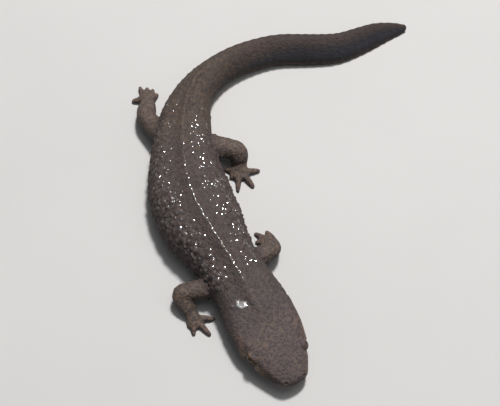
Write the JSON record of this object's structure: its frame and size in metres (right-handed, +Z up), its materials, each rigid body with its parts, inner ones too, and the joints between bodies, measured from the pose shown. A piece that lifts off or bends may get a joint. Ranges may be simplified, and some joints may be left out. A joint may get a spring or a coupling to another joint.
{
  "type": "fuzhong warty newt",
  "caption": "Still, life-size figure of a stout warty newt lying on its belly, with a flat tail swung round to one side and four short legs spread on the floor.",
  "frame": {"origin": "middle of the whole figure in plan, at floor level", "axes": "+X to the picture's right and +Y to its top, both on the floor, and +Z up. The head is at -Y and the tail's bend at +Y, with the tail's tip towards +X"},
  "size_m": [0.0768, 0.1062, 0.0151],
  "materials": {
    "head_skin": "olive brown, finely grained, satin",
    "back_skin": "dark brown, warty, wet and glossy",
    "tail_skin": "dark brown to bluish grey, satin",
    "leg_skin": "brown, finely grained, satin",
    "eye": "dark and glossy"
  },
  "bodies": {
    "root": {"eye_left": "eye", "eye_right": "eye", "head": "head_skin", "left_foot": "leg_skin", "left_forearm": "leg_skin", "left_hand": "leg_skin", "left_shank": "leg_skin", "left_thigh": "leg_skin", "left_upper_arm": "leg_skin", "lower_jaw": "head_skin", "neck": "head_skin", "right_foot": "leg_skin", "right_forearm": "leg_skin", "right_hand": "leg_skin", "right_shank": "leg_skin", "right_thigh": "leg_skin", "right_upper_arm": "leg_skin", "tail_base": "tail_skin", "tail_middle": "tail_skin", "tail_tip": "tail_skin", "torso": "back_skin"}
  },
  "joints": []
}
